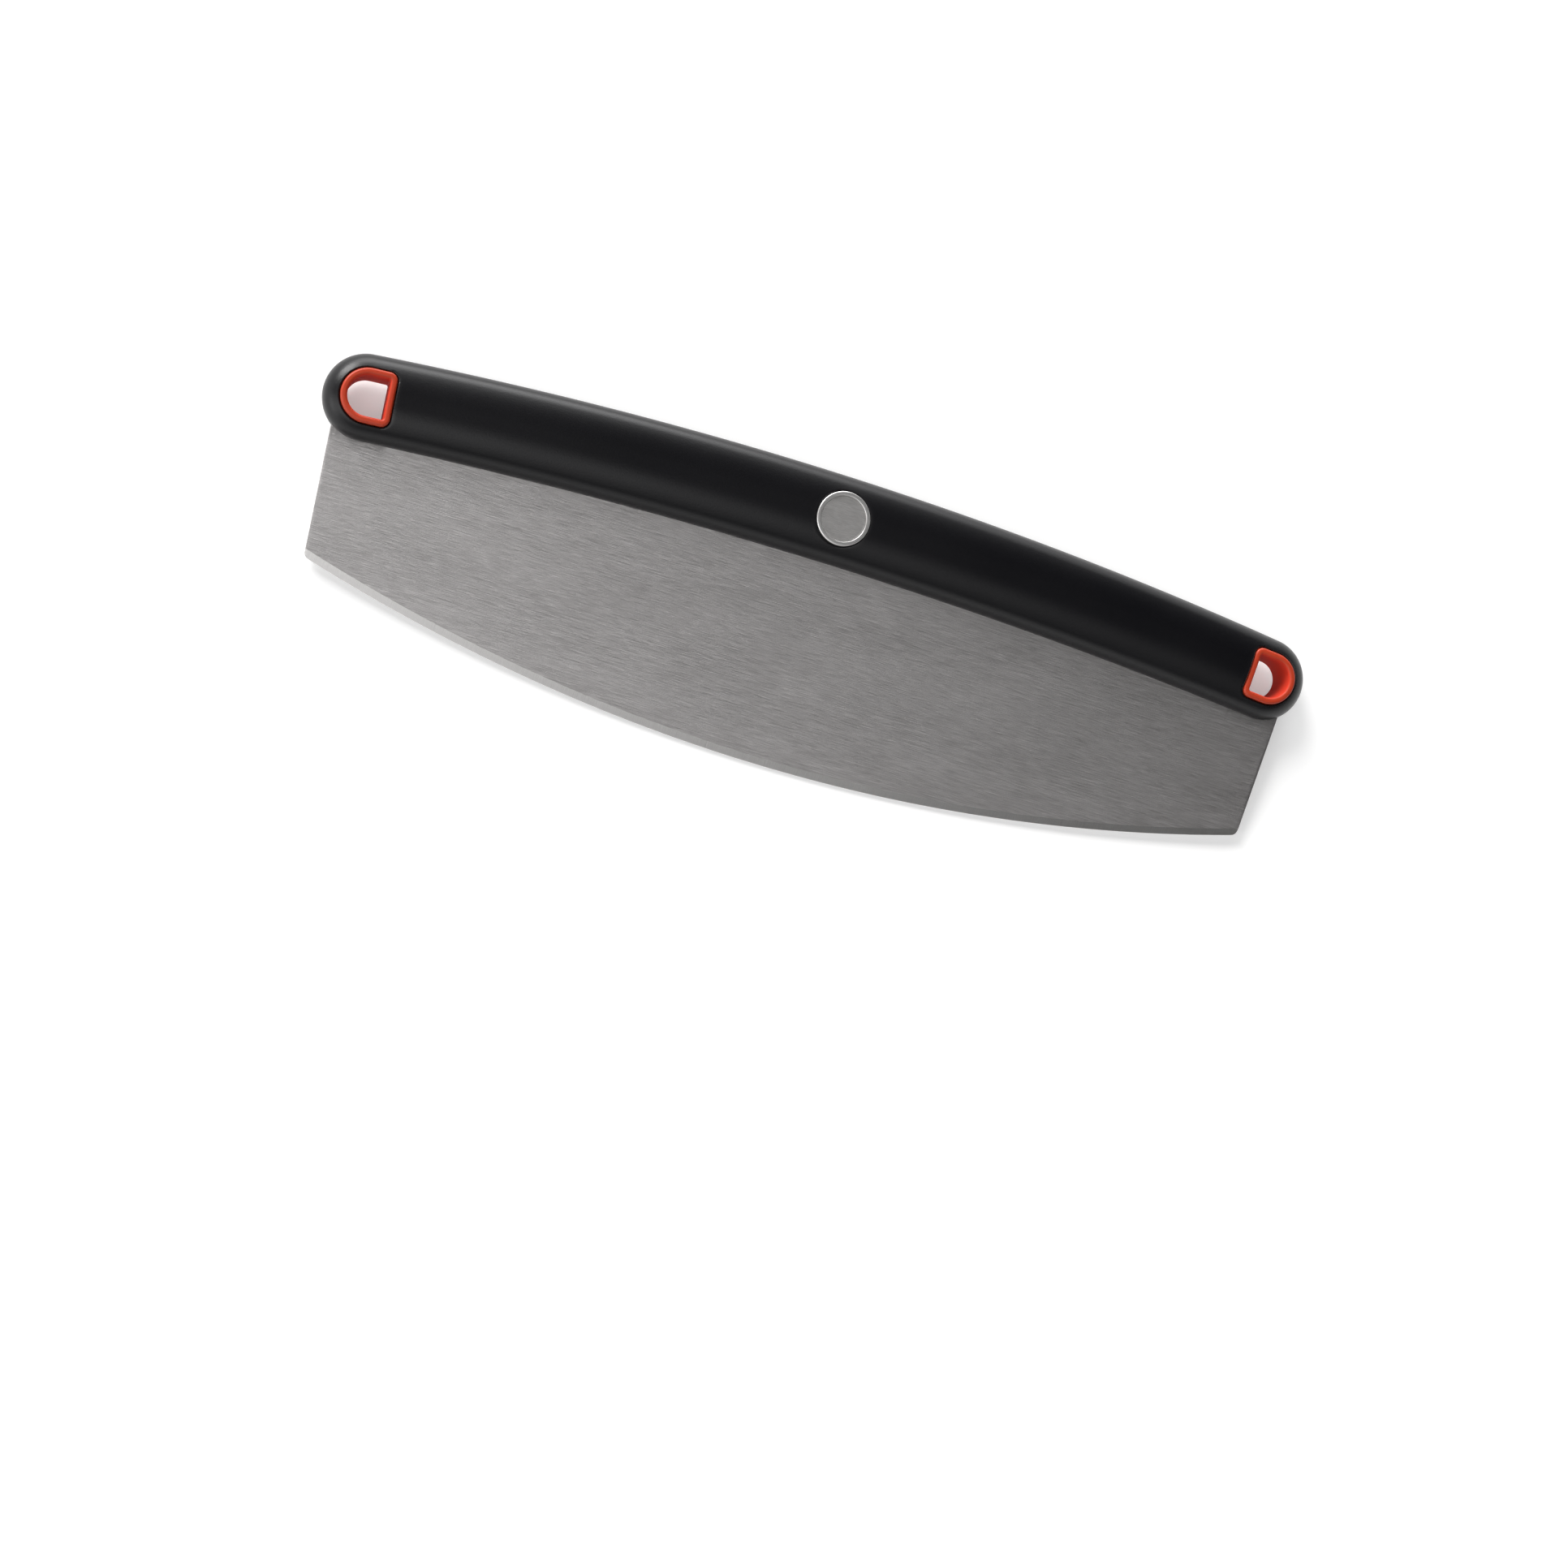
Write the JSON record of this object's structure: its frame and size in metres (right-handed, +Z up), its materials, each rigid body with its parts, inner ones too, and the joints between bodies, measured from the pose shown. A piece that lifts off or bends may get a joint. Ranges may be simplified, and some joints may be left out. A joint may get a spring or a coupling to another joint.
{
  "type": "rocking pizza knife",
  "caption": "Long curved steel blade under a full-length oval handle with lined hang holes at both ends, rocked by both hands to cut pizza and other flat food.",
  "frame": {"origin": "on the surface that the knife lies on, under the centre of its box", "axes": "+X along the knife to the right as its front is seen, +Y from the cutting edge towards the spine of the handle, +Z up, out of the front face"},
  "size_m": [0.3556, 0.1028, 0.0196],
  "materials": {
    "blade_steel": "satin, brushed along the length, with a bright ground bevel",
    "handle_plastic": "black, fine moulded texture with a soft sheen",
    "liner_plastic": "orange-red, smooth",
    "medallion_metal": "brushed sideways, bare",
    "pad_foam": "adhesive foam",
    "nut_brass": "turned",
    "fastener_steel": "turned"
  },
  "bodies": {
    "root": {"blade": "blade_steel", "front_shell": "handle_plastic", "back_shell": "handle_plastic", "left_liner": "liner_plastic", "right_liner": "liner_plastic", "front_medallion": "medallion_metal", "back_medallion": "medallion_metal", "front_pad": "pad_foam", "back_pad": "pad_foam", "sleeve_nut": "nut_brass", "clamp_screw": "fastener_steel", "tang_pin_1": "fastener_steel", "tang_pin_2": "fastener_steel", "tang_pin_3": "fastener_steel", "tang_pin_4": "fastener_steel"}
  },
  "joints": []
}
